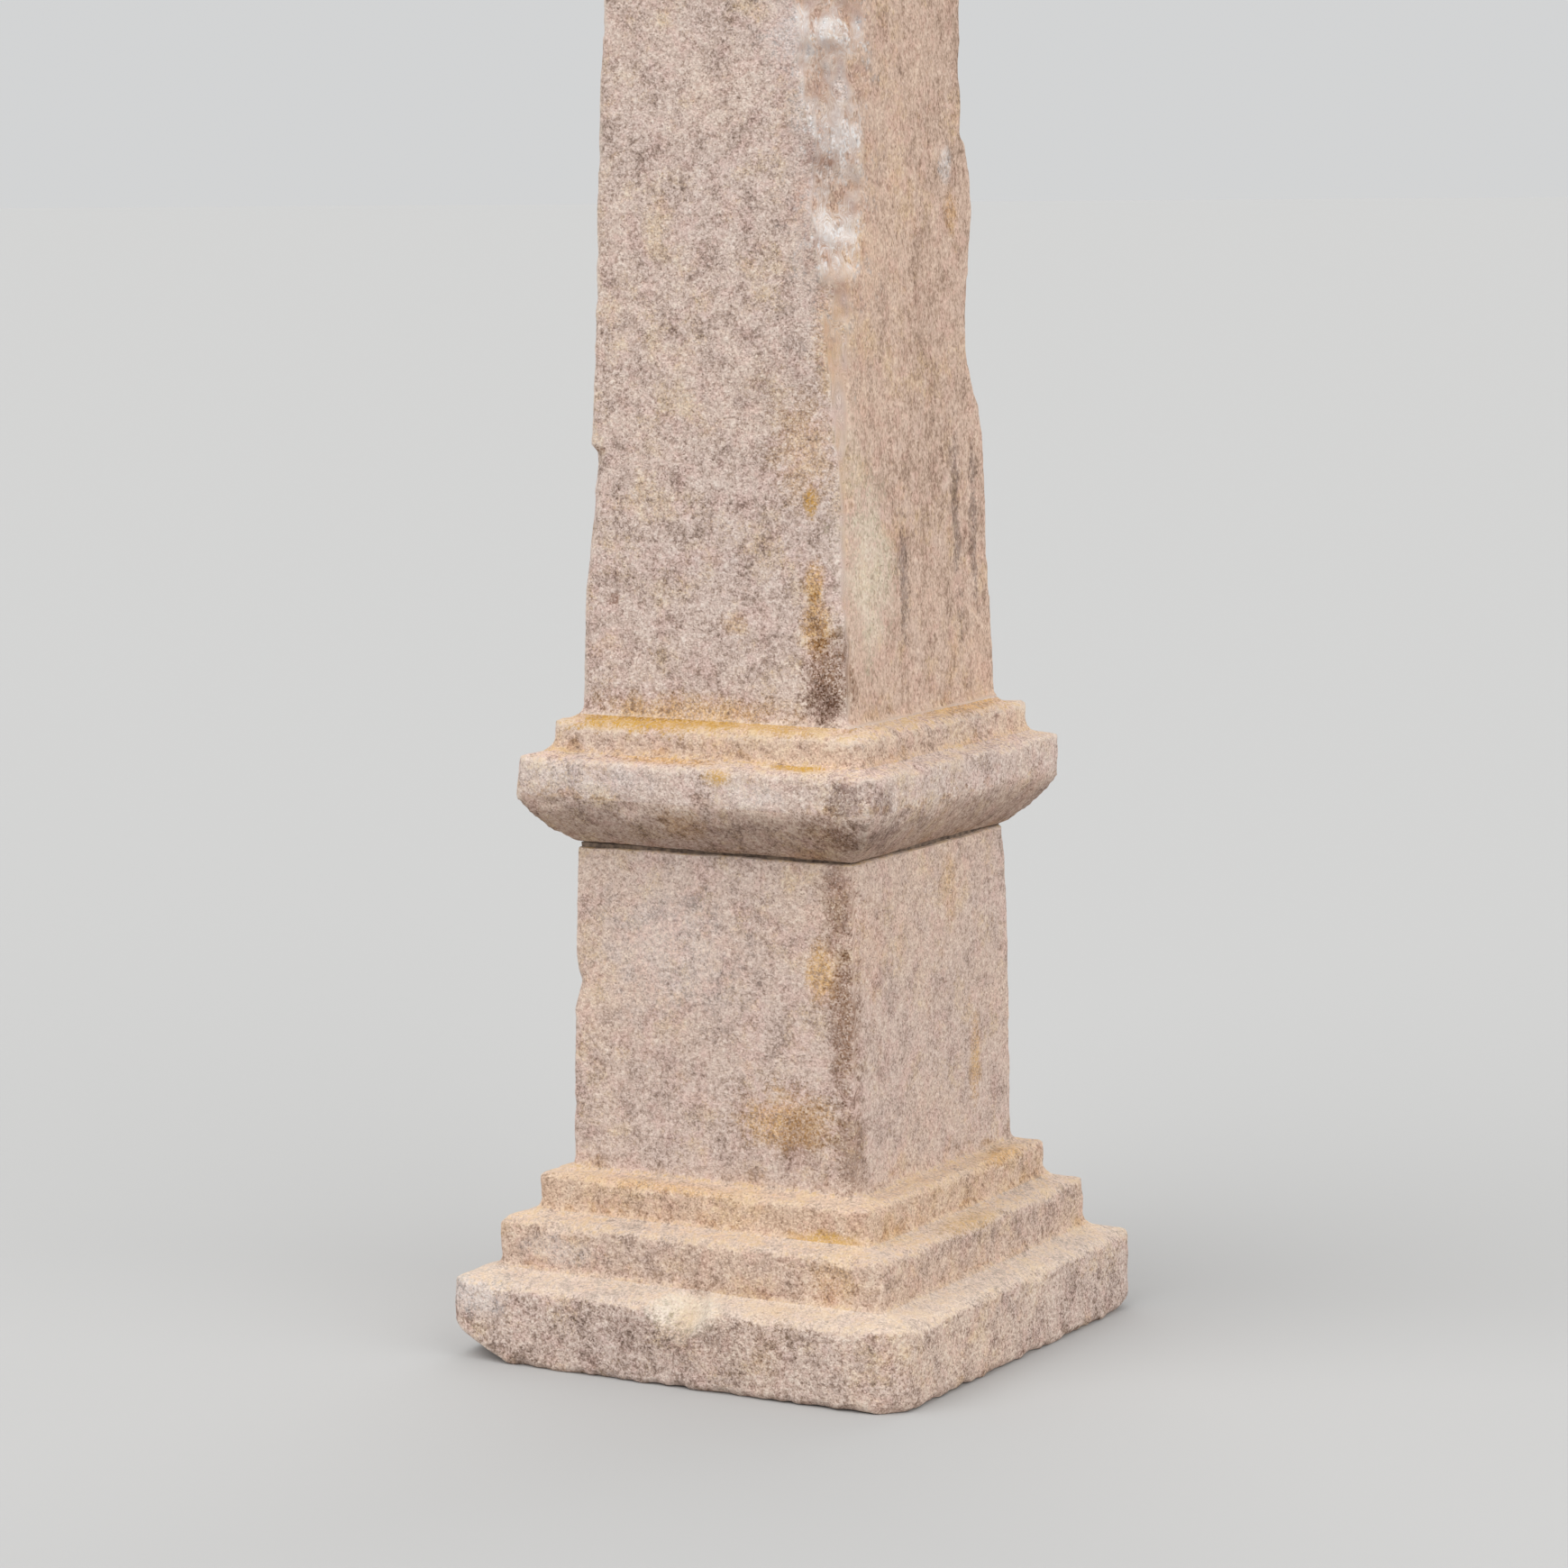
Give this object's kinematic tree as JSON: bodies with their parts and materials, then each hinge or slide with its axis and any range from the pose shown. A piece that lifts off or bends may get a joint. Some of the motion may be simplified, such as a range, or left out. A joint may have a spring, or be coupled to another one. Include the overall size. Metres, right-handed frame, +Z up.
{
  "type": "weathered stone obelisk on a stepped, moulded pedestal",
  "caption": "Weathered sandstone obelisk: stepped plinth, square die, moulded cap and a tapering square shaft with a pyramid point.",
  "frame": {"origin": "centre of the plinth slab's underside, on the ground", "axes": "+Z up along the shaft, +X and +Y square to the plinth's faces, -Y the face with the chipped plinth arris"},
  "size_m": [0.204, 0.204, 0.98],
  "materials": {
    "sandstone": "rough",
    "mortar": "rough"
  },
  "bodies": {
    "root": {"plinth_slab": "sandstone", "middle_step": "sandstone", "upper_step": "sandstone", "die_block": "sandstone", "mortar_joint": "mortar", "cap_moulding": "sandstone", "cap_slab": "sandstone", "cap_fillet": "sandstone", "shaft": "sandstone", "pyramid_point": "sandstone"}
  },
  "joints": []
}
